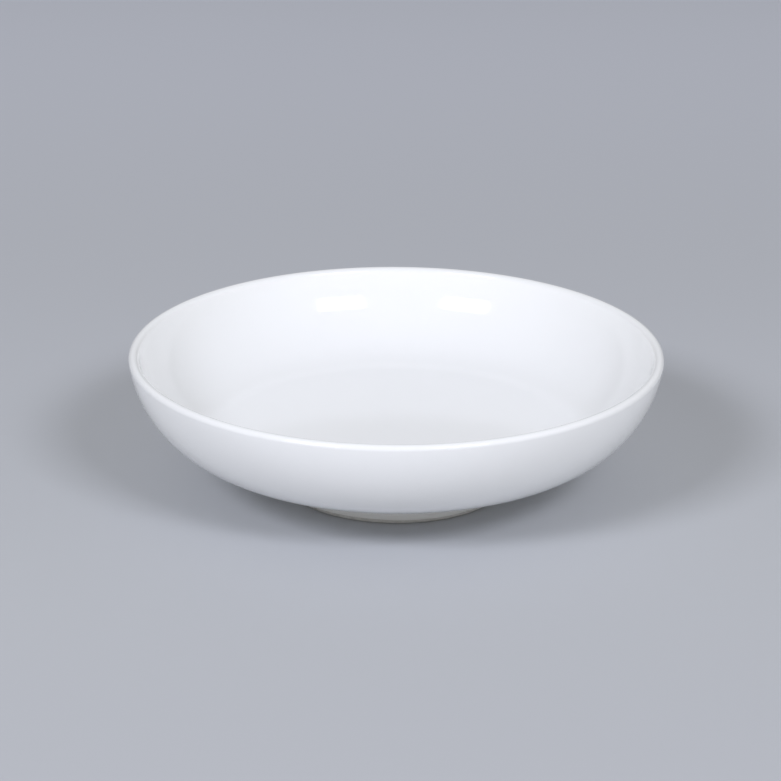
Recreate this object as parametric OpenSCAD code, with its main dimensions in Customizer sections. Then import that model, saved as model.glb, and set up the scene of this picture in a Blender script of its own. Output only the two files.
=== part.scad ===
// Soy sauce dish: a small white porcelain dish turned in one piece, with a
// rounded lip, a bellied wall and a low foot ring, under a clear glaze.
// The dish stands on the plane z = 0 and its axis is the Z axis. Millimetres.
// Every size is taken over the glaze, as a ruler would find it.

/* [Dish] */
// Diameter over the rim
rim_d = 100; // [84:1:130]
// Height from the table to the top of the lip
height = 26.6; // [22:0.2:32]
// Radius of the hollow floor, a very shallow bowl
floor_r = 530; // [300:10:900]
// Thickness of the base at the middle
base_t = 4.2; // [2.5:0.1:5.5]

/* [Wall and lip] */
// Rounding of the lip towards the outside
lip_outer_r = 0.85; // [0.6:0.05:1.6]
// Rounding of the lip towards the inside
lip_inner_r = 1.05; // [0.6:0.05:1.6]
// Lean of the outer wall under the lip, from upright
outer_lean = 8; // [2:0.5:20]
// Lean of the inner wall under the lip, from upright
inner_lean = 12; // [4:0.5:20]
// Radius of the hollow corner between the inner wall and the floor
corner_r = 14.8; // [11:0.2:18]
// Slope of the inner wall where that corner begins, from level
corner_slope = 38; // [25:1:50]
// Rise of the underside from the foot outwards, from level
underside_rise = 6; // [2:0.5:12]

/* [Foot ring] */
// Diameter of the foot ring at the table
foot_d = 42; // [34:1:50]
// Height of the underside above the table, where the foot ring leaves it
foot_h = 6; // [3.5:0.1:8]
// Width of the foot ring at the table
foot_w = 3.2; // [2.4:0.1:5]
// Lean of the foot ring's outer face, from upright
foot_outer_lean = 3; // [0:0.5:10]
// Lean of the foot ring's inner face, from upright
foot_inner_lean = 8; // [0:0.5:15]
// Rounding of the two edges that the dish stands between
foot_edge_r = 0.45; // [0.2:0.05:0.8]
// Hollow rounding where the foot ring leaves the underside
foot_fillet_r = 1.2; // [0.6:0.1:2.5]
// Depth of the recess inside the foot ring
recess_depth = 5.6; // [3.5:0.1:7]
// Hollow rounding at the top of the recess
recess_fillet_r = 1.6; // [0.8:0.1:3]

/* [Glaze] */
// Thickness of the glaze
glaze_t = 0.3; // [0.15:0.05:0.45]
// Height of the wiped line: below it the foot ring is bare
wiped_h = 0.9; // [0.7:0.05:1.5]

/* [Hidden] */
$fn = 128;
// Angle between two points of a rounding
lip_step = 7.5;
wall_step = 2.5;
floor_step = 0.5;
rim_r = rim_d / 2;
foot_r = foot_d / 2;
floor_h = recess_depth + base_t;

// Unit direction at an angle, counted from outwards (0) to upwards (90)
function dir(a) = [cos(a), sin(a)];

// Points along a round stretch from angle a to angle b, without the one at a,
// because that is where the stretch before it ends
function arc(centre, r, a, b, step) =
    let (n = max(1, ceil(abs(b - a) / step)))
    [for (i = [1:n]) centre + r * dir(a + (b - a) * i / n)];

// Crossing of two lines, each given by a point and a direction
function crossing(p, u, q, v) =
    p + u * (((q - p)[0] * v[1] - (q - p)[1] * v[0]) / (u[0] * v[1] - u[1] * v[0]));

// Round stretch of radius r in the corner at q, where a line that arrives along
// angle a goes on along angle b
function corner(q, a, b, r, step) =
    let (
        turn = b - a,
        side = turn > 0 ? 90 : -90,
        start = q - dir(a) * r * tan(abs(turn) / 2),
        centre = start + dir(a + side) * r
    )
    concat([start], arc(centre, r, a - side, b - side, step));

// The outer wall is one arc. It leaves the lip along outer_lean and runs into
// the straight underside, which starts at the root of the foot ring.
lip_outer_c = [rim_r - lip_outer_r, height - lip_outer_r];
outer_top = lip_outer_c + lip_outer_r * dir(-outer_lean);
foot_root = [foot_r + foot_h * tan(foot_outer_lean), foot_h];
underside_n = dir(90 + underside_rise);
belly_r = (outer_top - foot_root) * underside_n / (1 - sin(outer_lean + underside_rise));
belly_c = outer_top - belly_r * dir(-outer_lean);

// The inner wall leaves the lip along inner_lean and is one arc as far down as
// corner_slope. The corner is a tighter arc, which goes on from there and runs
// into the hollow floor, whose centre of curvature is high up on the axis.
lip_inner_c = [rim_r - lip_outer_r, height - lip_inner_r];
inwards = dir(180 - inner_lean);
downwards = dir(corner_slope - 90);
inner_top = lip_inner_c + lip_inner_r * inwards;
floor_c = [0, floor_h + floor_r];

// The radius of the wall is the one with which the corner's centre comes
// floor_r - corner_r from the floor's centre. It is the root of a square
// equation in that radius.
reach = inner_top - corner_r * downwards - floor_c;
turn = inwards + downwards;
half = reach * turn / (turn * turn);
rest = (reach * reach - (floor_r - corner_r) * (floor_r - corner_r)) / (turn * turn);
wall_r = sqrt(half * half - rest) - half;
wall_c = inner_top + wall_r * inwards;
corner_c = wall_c + (wall_r - corner_r) * downwards;
floor_edge = atan2(corner_c[0], floor_c[1] - corner_c[1]);

// Top of the lip, set in by g
function lip_top(g) = [rim_r - lip_outer_r, height - g];

// Outer side from below the top of the lip to the underside, set in by g
function outer_side(g) = concat(
    arc(lip_outer_c, lip_outer_r - g, 90, 0, lip_step),
    arc(lip_outer_c, lip_outer_r - g, 0, -outer_lean, lip_step),
    arc(belly_c, belly_r - g, -outer_lean, underside_rise - 90, wall_step)
);

// Inner side from below the top of the lip to the middle of the floor, set in by g
function inner_side(g) = concat(
    arc(lip_inner_c, lip_inner_r - g, 90, 180 - inner_lean, lip_step),
    arc(wall_c, wall_r + g, -inner_lean, corner_slope - 90, wall_step),
    arc(corner_c, corner_r + g, corner_slope - 90, floor_edge - 90, wall_step),
    arc(floor_c, floor_r + g, floor_edge - 90, -90, floor_step)
);

// Outer face of the foot ring, set in by g, as a point on it at height z
function foot_outer(g, z) = [foot_r - g / cos(foot_outer_lean) + z * tan(foot_outer_lean), z];

// Inner face of the foot ring, set in by g, as a point on it at height z
function foot_inner(g, z) =
    [foot_r - foot_w + g / cos(foot_inner_lean) - z * tan(foot_inner_lean), z];

// Hollow rounding under the belly, set in by g
function foot_fillet(g) =
    let (
        face = foot_outer(g, 0),
        up = dir(90 - foot_outer_lean),
        under = foot_root + g * underside_n,
        q = crossing(face, up, under, dir(underside_rise))
    )
    corner(q, 180 + underside_rise, 270 - foot_outer_lean, foot_fillet_r + g, lip_step);

// Hollow rounding at the top of the recess, set in by g
function recess_fillet(g) =
    let (q = crossing(foot_inner(g, 0), dir(90 + foot_inner_lean), [0, recess_depth + g], dir(0)))
    corner(q, 90 + foot_inner_lean, 180, recess_fillet_r + g, lip_step);

// Bare end of the foot ring, from its outer face round to its inner face
function foot_end(g) = concat(
    corner(foot_outer(g, 0), 270 - foot_outer_lean, 180, foot_edge_r, lip_step),
    corner(foot_inner(g, 0), 180, 90 + foot_inner_lean, foot_edge_r, lip_step)
);

// List of points in the other direction
function back(points) = [for (i = [len(points) - 1:-1:0]) points[i]];

// Fired clay: the dish and its foot ring are one piece, bare where it stands
module porcelain_body() {
    color("whitesmoke") rotate_extrude() polygon(concat(
        [lip_top(glaze_t)],
        outer_side(glaze_t),
        foot_fillet(glaze_t),
        foot_end(glaze_t),
        recess_fillet(glaze_t),
        [[0, recess_depth + glaze_t]],
        back(inner_side(glaze_t))
    ));
}

// Clear glaze in one coat over the inside, the lip, the belly and the outer
// face of the foot ring, down to the wiped line
module glaze_coat() {
    color("white") rotate_extrude() polygon(concat(
        back(inner_side(0)),
        [lip_top(0)],
        outer_side(0),
        foot_fillet(0),
        [foot_outer(0, wiped_h), foot_outer(glaze_t, wiped_h)],
        back(foot_fillet(glaze_t)),
        back(outer_side(glaze_t)),
        [lip_top(glaze_t)],
        inner_side(glaze_t)
    ));
}

// The same glaze inside the foot ring, cut off from the coat by the wiped line
module foot_recess_glaze() {
    color("ghostwhite") rotate_extrude() polygon(concat(
        [foot_inner(0, wiped_h)],
        recess_fillet(0),
        [[0, recess_depth], [0, recess_depth + glaze_t]],
        back(recess_fillet(glaze_t)),
        [foot_inner(glaze_t, wiped_h)]
    ));
}

porcelain_body();
glaze_coat();
foot_recess_glaze();
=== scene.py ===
"""Looks of the soy sauce dish: white porcelain under a clear glaze, on pale grey paper."""
import math

import bpy
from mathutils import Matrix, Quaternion, Vector


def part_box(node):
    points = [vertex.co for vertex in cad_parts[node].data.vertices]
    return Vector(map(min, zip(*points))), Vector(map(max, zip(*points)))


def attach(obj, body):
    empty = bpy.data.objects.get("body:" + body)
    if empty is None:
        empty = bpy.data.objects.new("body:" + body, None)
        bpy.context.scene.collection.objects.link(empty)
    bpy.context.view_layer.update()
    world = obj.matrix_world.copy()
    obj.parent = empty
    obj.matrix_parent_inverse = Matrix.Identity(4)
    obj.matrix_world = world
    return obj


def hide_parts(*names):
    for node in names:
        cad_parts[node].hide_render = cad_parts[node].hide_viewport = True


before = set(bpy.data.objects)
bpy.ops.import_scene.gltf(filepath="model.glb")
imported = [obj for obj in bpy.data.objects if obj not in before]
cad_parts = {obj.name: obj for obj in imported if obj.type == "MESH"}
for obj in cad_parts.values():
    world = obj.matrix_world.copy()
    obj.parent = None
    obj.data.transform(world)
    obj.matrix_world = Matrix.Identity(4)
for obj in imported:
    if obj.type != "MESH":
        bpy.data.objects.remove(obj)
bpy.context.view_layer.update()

MM = 0.001

# Sizes of the dish, the first two from the frame and the others as in the CAD part
RIM_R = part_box("glaze_coat")[1].x
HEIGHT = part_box("glaze_coat")[1].z
RECESS_DEPTH = 5.6 * MM
BASE_T = 4.2 * MM
FOOT_R = 21 * MM
FOOT_H = 6 * MM
FOOT_W = 3.2 * MM
GLAZE_T = 0.3 * MM
WIPED_H = 0.9 * MM

# Shape of the section, as in the CAD part, with angles in degrees
LIP_OUTER_R = 0.85 * MM
LIP_INNER_R = 1.05 * MM
OUTER_LEAN = 8
INNER_LEAN = 12
UNDERSIDE_RISE = 6
FLOOR_R = 530 * MM
CORNER_R = 14.8 * MM
CORNER_SLOPE = 38
FOOT_OUTER_LEAN = 3
FOOT_INNER_LEAN = 8
FOOT_EDGE_R = 0.45 * MM
FOOT_FILLET_R = 1.2 * MM
RECESS_FILLET_R = 1.6 * MM

# Fineness of the meshes: steps in degrees, and the spacing of the rings elsewhere
ROUND_SEGMENTS = 256
LIP_STEP = 6
WALL_STEP = 2
RING_SPACING = 1.6 * MM
GLAZE_END_STEPS = 8
ON_AXIS = 1e-7

# Gap between the clay and the glaze that hides it, and the strip of clay that is seen
HIDDEN_GAP = 0.02 * MM
BARE_TOP = WIPED_H * 2
BARE_LOW = FOOT_EDGE_R * 1.5

# Unevenness of the hand-wiped line. Each wave has a number round the ring, a share of the
# height and a start. Only points of the glaze below WAVE_TOP follow it.
WAVE_HEIGHT = 0.06 * MM
WAVES = ((3, 1.0, 0.7), (7, 0.6, 2.1), (16, 0.4, 4.0))
WAVE_TOP = WIPED_H * 1.1

# Photograph's frame and the camera that fits the dish in it, with angles in degrees
IMAGE_SIZE = 781
ORIGIN_PIXEL = (395.1, 481.7)
CAMERA_DISTANCE = 700 * MM
CAMERA_ELEVATION = 21.75
CAMERA_ROLL = 0.3
CAMERA_NEAR = 0.05
CAMERA_FAR = 20
LENS = 170.2
SENSOR = 36

# Softboxes in front of the dish, one to each side
SOFTBOX_DISTANCE = 1.2
SOFTBOX_WIDTH = 0.385
SOFTBOX_HEIGHT = 0.25
SOFTBOX_COLOUR = (0.982, 1.005, 1.105)

# Room light. The band along the horizon gets narrower as the number goes up.
ROOM_COLOUR = (0.960, 0.965, 0.965)
GLOW_COLOUR = (1.08, 1.0, 0.82)
BAND_NARROWNESS = 10

# Glaze: faint clouds in its white, and a skin that is barely uneven
GLAZE_WHITE = (0.942, 0.948, 0.950)
COAT_DEEPER = (0.936, 0.943, 0.946)
RECESS_DEEPER = (0.917, 0.924, 0.928)
GLAZE_ROUGHNESS = 0.09
GLAZE_IOR = 1.5
CLOUD_SCALE = 60
CLOUD_RANGE = (0.35, 0.7)
SKIN_SCALE = 400
SKIN_STRENGTH = 0.02
SKIN_DEPTH = 0.05 * MM

# Bare clay: fine specks and a fine grain
CLAY_LIGHT = (0.76, 0.76, 0.76)
CLAY_DARK = (0.63, 0.63, 0.63)
CLAY_ROUGHNESS = 0.85
SPECK_SCALE = 900
SPECK_RANGE = (0.35, 0.75)
GRAIN_SCALE = 6000
GRAIN_STRENGTH = 0.5
GRAIN_DEPTH = 0.03 * MM

# Paper under the dish. Each stop is a place along the Y axis and the colour there. Its grey is
# the paper's own, but the rise from front to back is painted light: darker near the lamps and
# lighter far from them, to even out how their light falls off.
PAPER_HALF_WIDTH = 4.0
PAPER_ROUGHNESS = 0.9
PAPER_SPECULAR = 0.2
PAPER_STOPS_WITH_PAINTED_LIGHT = ((-0.14, (0.514, 0.526, 0.553)),
               (-0.03, (0.545, 0.559, 0.583)),
               (0.10, (0.545, 0.560, 0.593)),
               (0.35, (0.632, 0.652, 0.716)))


def direction(angle):
    """Unit direction in the section, from outwards (0) to upwards (90)."""
    a = math.radians(angle)
    return Vector((math.cos(a), math.sin(a)))


def arc(centre, radius, start, end, step):
    """Points along a round stretch, without its first one."""
    count = max(1, math.ceil(abs(end - start) / step))
    return [centre + radius * direction(start + (end - start) * i / count)
            for i in range(1, count + 1)]


def line(start, end, spacing=RING_SPACING):
    """Points along a straight stretch, without its first one."""
    count = max(1, math.ceil((end - start).length / spacing))
    return [start.lerp(end, i / count) for i in range(1, count + 1)]


def crossing(p, u, q, v):
    """Crossing of two lines, each given by a point and a direction."""
    return p + u * ((q - p).cross(v) / u.cross(v))


def corner(q, a, b, radius, step=LIP_STEP):
    """Round stretch in the corner at q, where a line along angle a goes on along angle b."""
    side = 90 if b > a else -90
    start = q - direction(a) * radius * math.tan(math.radians(abs(b - a) / 2))
    centre = start + direction(a + side) * radius
    return [start] + arc(centre, radius, a - side, b - side, step)


def outer_wall():
    """Radius and centre of the belly's arc, and the upward normal of the underside."""
    lip = Vector((RIM_R - LIP_OUTER_R, HEIGHT - LIP_OUTER_R))
    top = lip + LIP_OUTER_R * direction(-OUTER_LEAN)
    root = Vector((FOOT_R + FOOT_H * math.tan(math.radians(FOOT_OUTER_LEAN)), FOOT_H))
    normal = direction(90 + UNDERSIDE_RISE)
    lean = math.radians(OUTER_LEAN + UNDERSIDE_RISE)
    radius = (top - root).dot(normal) / (1 - math.sin(lean))
    return lip, root, normal, radius, top - radius * direction(-OUTER_LEAN)


def inner_wall():
    """Centres and radii of the three round stretches inside: wall, corner and hollow floor."""
    lip = Vector((RIM_R - LIP_OUTER_R, HEIGHT - LIP_INNER_R))
    inwards, down = direction(180 - INNER_LEAN), direction(CORNER_SLOPE - 90)
    top = lip + LIP_INNER_R * inwards
    floor = Vector((0, RECESS_DEPTH + BASE_T + FLOOR_R))
    reach, turn = top - CORNER_R * down - floor, inwards + down
    half = reach.dot(turn) / turn.length_squared
    rest = (reach.length_squared - (FLOOR_R - CORNER_R) ** 2) / turn.length_squared
    radius = math.sqrt(half ** 2 - rest) - half
    wall = top + radius * inwards
    well = wall + (radius - CORNER_R) * down
    edge = math.degrees(math.atan2(well.x, floor.y - well.y))
    return lip, floor, radius, wall, well, edge


def outer_side(inset):
    """Outer side from below the top of the lip to the end of the belly's arc."""
    lip, _, _, radius, centre = outer_wall()
    return (arc(lip, LIP_OUTER_R - inset, 90, 0, LIP_STEP)
            + arc(lip, LIP_OUTER_R - inset, 0, -OUTER_LEAN, LIP_STEP)
            + arc(centre, radius - inset, -OUTER_LEAN, UNDERSIDE_RISE - 90, WALL_STEP))


def inner_side(inset):
    """Inner side from below the top of the lip to the middle of the floor."""
    lip, floor, radius, wall, well, edge = inner_wall()
    floor_step = math.degrees(RING_SPACING / FLOOR_R)
    return (arc(lip, LIP_INNER_R - inset, 90, 180 - INNER_LEAN, LIP_STEP)
            + arc(wall, radius + inset, -INNER_LEAN, CORNER_SLOPE - 90, WALL_STEP)
            + arc(well, CORNER_R + inset, CORNER_SLOPE - 90, edge - 90, WALL_STEP)
            + arc(floor, FLOOR_R + inset, edge - 90, -90, floor_step))


def lip_top(inset):
    """Top of the lip."""
    return Vector((RIM_R - LIP_OUTER_R, HEIGHT - inset))


def foot_outer(inset, z):
    """Point on the foot ring's outer face at the height z."""
    lean = math.radians(FOOT_OUTER_LEAN)
    return Vector((FOOT_R - inset / math.cos(lean) + z * math.tan(lean), z))


def foot_inner(inset, z):
    """Point on the foot ring's inner face at the height z."""
    lean = math.radians(FOOT_INNER_LEAN)
    return Vector((FOOT_R - FOOT_W + inset / math.cos(lean) - z * math.tan(lean), z))


def foot_fillet(inset):
    """Hollow rounding where the foot ring leaves the underside."""
    _, root, normal, _, _ = outer_wall()
    q = crossing(foot_outer(inset, 0), direction(90 - FOOT_OUTER_LEAN),
                 root + inset * normal, direction(UNDERSIDE_RISE))
    return corner(q, 180 + UNDERSIDE_RISE, 270 - FOOT_OUTER_LEAN, FOOT_FILLET_R + inset)


def recess_fillet(inset):
    """Hollow rounding at the top of the recess."""
    q = crossing(foot_inner(inset, 0), direction(90 + FOOT_INNER_LEAN),
                 Vector((0, RECESS_DEPTH + inset)), direction(0))
    return corner(q, 90 + FOOT_INNER_LEAN, 180, RECESS_FILLET_R + inset)


def foot_end(inset):
    """Bare end of the foot ring, rounded on both edges."""
    return (corner(foot_outer(inset, 0), 270 - FOOT_OUTER_LEAN, 180, FOOT_EDGE_R)
            + corner(foot_inner(inset, 0), 180, 90 + FOOT_INNER_LEAN, FOOT_EDGE_R))


def outside(inset):
    """Outer side, underside and fillet in one, down to the foot ring's outer face."""
    side = outer_side(inset)
    fillet = foot_fillet(inset)
    return side + line(side[-1], fillet[0]) + fillet[1:]


def recess(inset):
    """Fillet and ceiling of the recess, to its middle."""
    fillet = recess_fillet(inset)
    return fillet + line(fillet[-1], Vector((0, RECESS_DEPTH + inset)))


def glaze_end(outer, inner):
    """Rounded edge of the glaze at the wiped line, from its outer to its inner surface."""
    middle = (outer + inner) / 2
    along = (outer - inner) / 2
    down = Vector((0, -along.length))
    return [middle + along * math.cos(t) + down * math.sin(t)
            for t in (math.pi * i / GLAZE_END_STEPS for i in range(GLAZE_END_STEPS + 1))]


def wiped_wave(angle):
    """Small unevenness of the hand-wiped line round the foot ring."""
    return WAVE_HEIGHT * sum(share * math.sin(number * angle + start)
                             for number, share, start in WAVES)


def revolve(name, section, wave_below=-1.0):
    """Closed mesh from a closed section, turned round the axis.
    Points lower than wave_below follow the unevenness of the wiped line."""
    verts, faces, rings = [], [], []
    for p in section:
        if p.x < ON_AXIS:
            rings.append([len(verts)])
            verts.append((0, 0, p.y))
            continue
        first = len(verts)
        rings.append([first + i for i in range(ROUND_SEGMENTS)])
        for i in range(ROUND_SEGMENTS):
            t = 2 * math.pi * i / ROUND_SEGMENTS
            z = p.y + (wiped_wave(t) if p.y < wave_below else 0)
            verts.append((p.x * math.cos(t), p.x * math.sin(t), z))
    for a, b in zip(rings, rings[1:] + rings[:1]):
        faces += band(a, b)
    mesh = bpy.data.meshes.new(name)
    mesh.from_pydata(verts, [], faces)
    mesh.validate()
    mesh.shade_smooth()
    piece = bpy.data.objects.new(name, mesh)
    bpy.context.collection.objects.link(piece)
    return piece


def band(a, b):
    """Faces between two rings, either of which may be a single point on the axis."""
    n = ROUND_SEGMENTS
    if len(a) == 1 and len(b) == 1:
        return []
    if len(a) == 1:
        return [(a[0], b[i], b[(i + 1) % n]) for i in range(n)]
    if len(b) == 1:
        return [(a[i], b[0], a[(i + 1) % n]) for i in range(n)]
    return [(a[i], b[i], b[(i + 1) % n], a[(i + 1) % n]) for i in range(n)]


def back(points):
    """Points in the other direction."""
    return points[::-1]


def make_body():
    """Fired clay, bare only on the foot ring."""
    inset = GLAZE_T + HIDDEN_GAP
    bare = line(foot_outer(GLAZE_T, BARE_TOP), foot_outer(GLAZE_T, BARE_LOW))
    section = ([lip_top(inset)] + outside(inset) + bare + foot_end(GLAZE_T)
               + recess(inset) + back(inner_side(inset)))
    return revolve("porcelain", section)


def make_coat():
    """Glaze over the inside, the lip, the belly and the foot ring's outer face."""
    end = glaze_end(foot_outer(0, WIPED_H), foot_outer(GLAZE_T, WIPED_H))
    down = line(foot_fillet(0)[-1], end[0])[:-1]
    up = line(end[-1], foot_fillet(GLAZE_T)[-1])[:-1]
    section = (back(inner_side(0)) + [lip_top(0)] + outside(0) + down + end + up
               + back(outside(GLAZE_T)) + [lip_top(GLAZE_T)] + inner_side(GLAZE_T))
    return revolve("glaze", section, wave_below=WAVE_TOP)


def make_recess_glaze():
    """Glaze inside the foot ring."""
    end = glaze_end(foot_inner(GLAZE_T, WIPED_H), foot_inner(0, WIPED_H))
    up = line(end[-1], recess_fillet(0)[0])[:-1]
    down = line(recess_fillet(GLAZE_T)[0], end[0])[:-1]
    section = end + up + recess(0) + back(recess(GLAZE_T)) + down
    return revolve("recess_glaze", section, wave_below=WAVE_TOP)


def new_material(name):
    """New material with its nodes, its links and its shader."""
    material = bpy.data.materials.new(name)
    material.use_nodes = True
    nodes = material.node_tree.nodes
    return material, nodes, material.node_tree.links, nodes["Principled BSDF"]


def noise(nodes, links, scale, detail=2.0):
    """Noise in the object's own coordinates, as many waves to the metre as scale says."""
    place = nodes.new("ShaderNodeTexCoord")
    texture = nodes.new("ShaderNodeTexNoise")
    texture.inputs["Scale"].default_value = scale
    texture.inputs["Detail"].default_value = detail
    links.new(place.outputs["Object"], texture.inputs["Vector"])
    return texture.outputs["Fac"]


def ramp(nodes, links, source, positions, colours):
    """Colour that goes from one to the other as source goes between the two positions."""
    node = nodes.new("ShaderNodeValToRGB")
    for element, position, colour in zip(node.color_ramp.elements, positions, colours):
        element.position = position
        element.color = (*colour, 1)
    links.new(source, node.inputs["Fac"])
    return node.outputs["Color"]


def bump(nodes, links, source, strength, distance):
    """Normal of a surface that source makes uneven."""
    node = nodes.new("ShaderNodeBump")
    node.inputs["Strength"].default_value = strength
    node.inputs["Distance"].default_value = distance
    links.new(source, node.inputs["Height"])
    return node.outputs["Normal"]


def glaze_material(name, deeper):
    """Clear glossy glaze over white clay, with a barely uneven surface.
    Its white goes over into deeper here and there."""
    material, nodes, links, shader = new_material(name)
    clouds = noise(nodes, links, CLOUD_SCALE)
    tint = ramp(nodes, links, clouds, CLOUD_RANGE, (GLAZE_WHITE, deeper))
    links.new(tint, shader.inputs["Base Color"])
    shader.inputs["Roughness"].default_value = GLAZE_ROUGHNESS
    shader.inputs["IOR"].default_value = GLAZE_IOR
    skin = bump(nodes, links, noise(nodes, links, SKIN_SCALE, 1.0), SKIN_STRENGTH, SKIN_DEPTH)
    links.new(skin, shader.inputs["Normal"])
    return material


def bare_material():
    """Unglazed porcelain of the standing ring, fine-grained and slightly rubbed."""
    material, nodes, links, shader = new_material("bare_porcelain")
    specks = noise(nodes, links, SPECK_SCALE, 4.0)
    tint = ramp(nodes, links, specks, SPECK_RANGE, (CLAY_LIGHT, CLAY_DARK))
    links.new(tint, shader.inputs["Base Color"])
    shader.inputs["Roughness"].default_value = CLAY_ROUGHNESS
    grain = bump(nodes, links, noise(nodes, links, GRAIN_SCALE, 3.0), GRAIN_STRENGTH, GRAIN_DEPTH)
    links.new(grain, shader.inputs["Normal"])
    return material


def paper_material():
    """Pale grey paper whose colour changes a little from the front to the back: painted light,
    darker at the front and lighter at the back to even out the lamps' falloff.
    """
    material, nodes, links, shader = new_material("paper")
    place = nodes.new("ShaderNodeTexCoord")
    split = nodes.new("ShaderNodeSeparateXYZ")
    links.new(place.outputs["Object"], split.inputs["Vector"])
    start, end = PAPER_STOPS_WITH_PAINTED_LIGHT[0][0], PAPER_STOPS_WITH_PAINTED_LIGHT[-1][0]
    span = nodes.new("ShaderNodeMapRange")
    span.inputs["From Min"].default_value = start
    span.inputs["From Max"].default_value = end
    links.new(split.outputs["Y"], span.inputs["Value"])
    # Colour ramp along Y: painted light that evens out the lamps' falloff over the paper.
    blend = nodes.new("ShaderNodeValToRGB")
    blend.color_ramp.interpolation = "EASE"
    while len(blend.color_ramp.elements) < len(PAPER_STOPS_WITH_PAINTED_LIGHT):
        blend.color_ramp.elements.new(0.5)
    for element, (y, colour) in zip(blend.color_ramp.elements, PAPER_STOPS_WITH_PAINTED_LIGHT):
        element.position = (y - start) / (end - start)
        element.color = (*colour, 1)
    links.new(span.outputs["Result"], blend.inputs["Fac"])
    links.new(blend.outputs["Color"], shader.inputs["Base Color"])
    shader.inputs["Roughness"].default_value = PAPER_ROUGHNESS
    shader.inputs["Specular IOR Level"].default_value = PAPER_SPECULAR
    return material


def make_floor():
    """Paper sheet under the dish."""
    half = PAPER_HALF_WIDTH
    mesh = bpy.data.meshes.new("floor")
    mesh.from_pydata([(-half, -half, 0), (half, -half, 0), (half, half, 0), (-half, half, 0)],
                     [], [(0, 1, 2, 3)])
    floor = bpy.data.objects.new("floor", mesh)
    bpy.context.collection.objects.link(floor)
    mesh.materials.append(paper_material())
    return floor


def make_softbox(name, azimuth, elevation, twist, power):
    """Softbox that faces the dish. The angles are in degrees. Azimuth is counted from the
    camera's side to the right, twist round the way that it faces."""
    a, e = math.radians(azimuth), math.radians(elevation)
    towards = Vector((math.sin(a) * math.cos(e), -math.cos(a) * math.cos(e), math.sin(e)))
    lamp = bpy.data.lights.new(name, "AREA")
    lamp.shape = "RECTANGLE"
    lamp.size, lamp.size_y, lamp.energy = SOFTBOX_WIDTH, SOFTBOX_HEIGHT, power
    lamp.color = SOFTBOX_COLOUR
    light = bpy.data.objects.new(name, lamp)
    light.location = towards * SOFTBOX_DISTANCE
    light.rotation_mode = "QUATERNION"
    light.rotation_quaternion = ((-towards).to_track_quat("-Z", "Y")
                                 @ Quaternion((0, 0, 1), math.radians(twist)))
    bpy.context.collection.objects.link(light)


def squared_part(nodes, links, source, sign):
    """Squares of the parts of a direction that point along sign, zero for the others."""
    turned = nodes.new("ShaderNodeVectorMath")
    turned.operation = "MULTIPLY"
    turned.inputs[1].default_value = (sign, sign, sign)
    links.new(source, turned.inputs[0])
    part = nodes.new("ShaderNodeVectorMath")
    part.operation = "MAXIMUM"
    links.new(turned.outputs["Vector"], part.inputs[0])
    square = nodes.new("ShaderNodeVectorMath")
    square.operation = "MULTIPLY"
    links.new(part.outputs["Vector"], square.inputs[0])
    links.new(part.outputs["Vector"], square.inputs[1])
    return square.outputs["Vector"]


def dot(nodes, links, source, factors):
    """Sum of a vector's parts, each times its own factor."""
    node = nodes.new("ShaderNodeVectorMath")
    node.operation = "DOT_PRODUCT"
    node.inputs[1].default_value = factors
    links.new(source, node.inputs[0])
    return node.outputs["Value"]


def calculate(nodes, links, operation, a, b):
    """Result of a sum of two values, each a socket or a number."""
    node = nodes.new("ShaderNodeMath")
    node.operation = operation
    for value, socket in ((a, node.inputs[0]), (b, node.inputs[1])):
        if isinstance(value, (int, float)):
            socket.default_value = value
        else:
            links.new(value, socket)
    return node.outputs["Value"]


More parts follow.
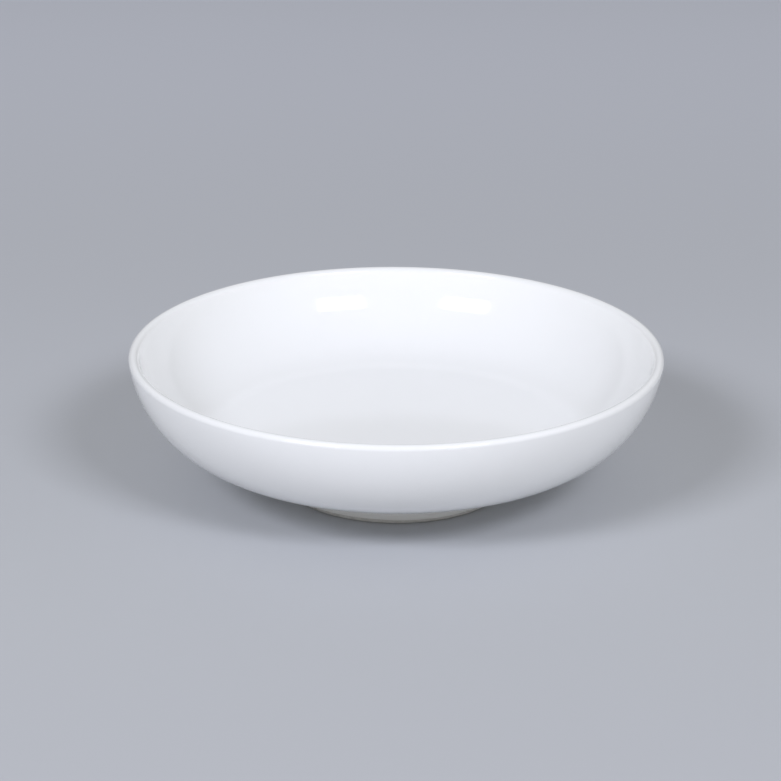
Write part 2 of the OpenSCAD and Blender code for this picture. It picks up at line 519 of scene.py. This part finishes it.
def make_world(sides, low_sides, above, glow):
    """Even room light that goes smoothly from one strength to the next between the sides,
    which are right, back and left. Near the horizon it has strengths of its own, and a glow
    in front, behind the camera."""
    world = bpy.data.worlds.new("studio")
    world.use_nodes = True
    nodes, links = world.node_tree.nodes, world.node_tree.links
    place = nodes.new("ShaderNodeTexCoord").outputs["Generated"]
    ahead = squared_part(nodes, links, place, 1)
    behind = squared_part(nodes, links, place, -1)
    level = calculate(nodes, links, "SUBTRACT", 1, dot(nodes, links, ahead, (0, 0, 1)))
    band = calculate(nodes, links, "POWER", level, BAND_NARROWNESS)
    change = [low - side for low, side in zip(low_sides, sides)]
    room = calculate(nodes, links, "ADD", dot(nodes, links, ahead, (*sides[:2], above)),
                     dot(nodes, links, behind, (sides[2], 0, 0)))
    more = calculate(nodes, links, "ADD", dot(nodes, links, ahead, (*change[:2], 0)),
                     dot(nodes, links, behind, (change[2], 0, 0)))
    horizon = calculate(nodes, links, "MULTIPLY", band, more)
    front = calculate(nodes, links, "MULTIPLY", band, dot(nodes, links, behind, (0, glow, 0)))
    shades = nodes["Background"], nodes.new("ShaderNodeBackground")
    strengths = calculate(nodes, links, "ADD", room, horizon), front
    both = nodes.new("ShaderNodeAddShader")
    for i, colour in enumerate((ROOM_COLOUR, GLOW_COLOUR)):
        shades[i].inputs["Color"].default_value = (*colour, 1)
        links.new(strengths[i], shades[i].inputs["Strength"])
        links.new(shades[i].outputs["Background"], both.inputs[i])
    links.new(both.outputs["Shader"], nodes["World Output"].inputs["Surface"])
    bpy.context.scene.world = world


def make_camera():
    """Camera that sees the origin at ORIGIN_PIXEL, with no shift."""
    e, roll = math.radians(CAMERA_ELEVATION), math.radians(CAMERA_ROLL)
    away = Vector((0, -math.cos(e), math.sin(e)))
    data = bpy.data.cameras.new("camera")
    data.lens, data.sensor_width = LENS, SENSOR
    data.clip_start, data.clip_end = CAMERA_NEAR, CAMERA_FAR
    camera = bpy.data.objects.new("camera", data)
    camera.location = away * CAMERA_DISTANCE
    focal = LENS / SENSOR * IMAGE_SIZE
    centre = (IMAGE_SIZE - 1) / 2
    seen = Vector((ORIGIN_PIXEL[0] - centre, centre - ORIGIN_PIXEL[1], -focal))
    aim = (-away).to_track_quat("-Z", "Y") @ Quaternion((0, 0, 1), roll)
    turn = Vector((0, 0, -1)).rotation_difference(seen)
    camera.rotation_mode = "QUATERNION"
    camera.rotation_quaternion = aim @ turn.inverted()
    bpy.context.collection.objects.link(camera)
    bpy.context.scene.camera = camera


def dress(piece, material, node):
    """Material of a piece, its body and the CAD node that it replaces."""
    piece.data.materials.append(material)
    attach(piece, "root")
    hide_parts(node)


make_camera()
make_world(sides=(0.595, 0.81, 0.29), low_sides=(0.70, 0.25, 0.65), above=0.285, glow=0.72)
make_softbox("softbox_right", azimuth=30, elevation=38, twist=-8, power=5.18)
make_softbox("softbox_left", azimuth=-37, elevation=37, twist=7, power=5.87)
make_floor()

dress(make_body(), bare_material(), "porcelain_body")
dress(make_coat(), glaze_material("glaze", COAT_DEEPER), "glaze_coat")
dress(make_recess_glaze(), glaze_material("recess_glaze", RECESS_DEEPER),
      "foot_recess_glaze")

bpy.context.scene.view_settings.view_transform = "Standard"
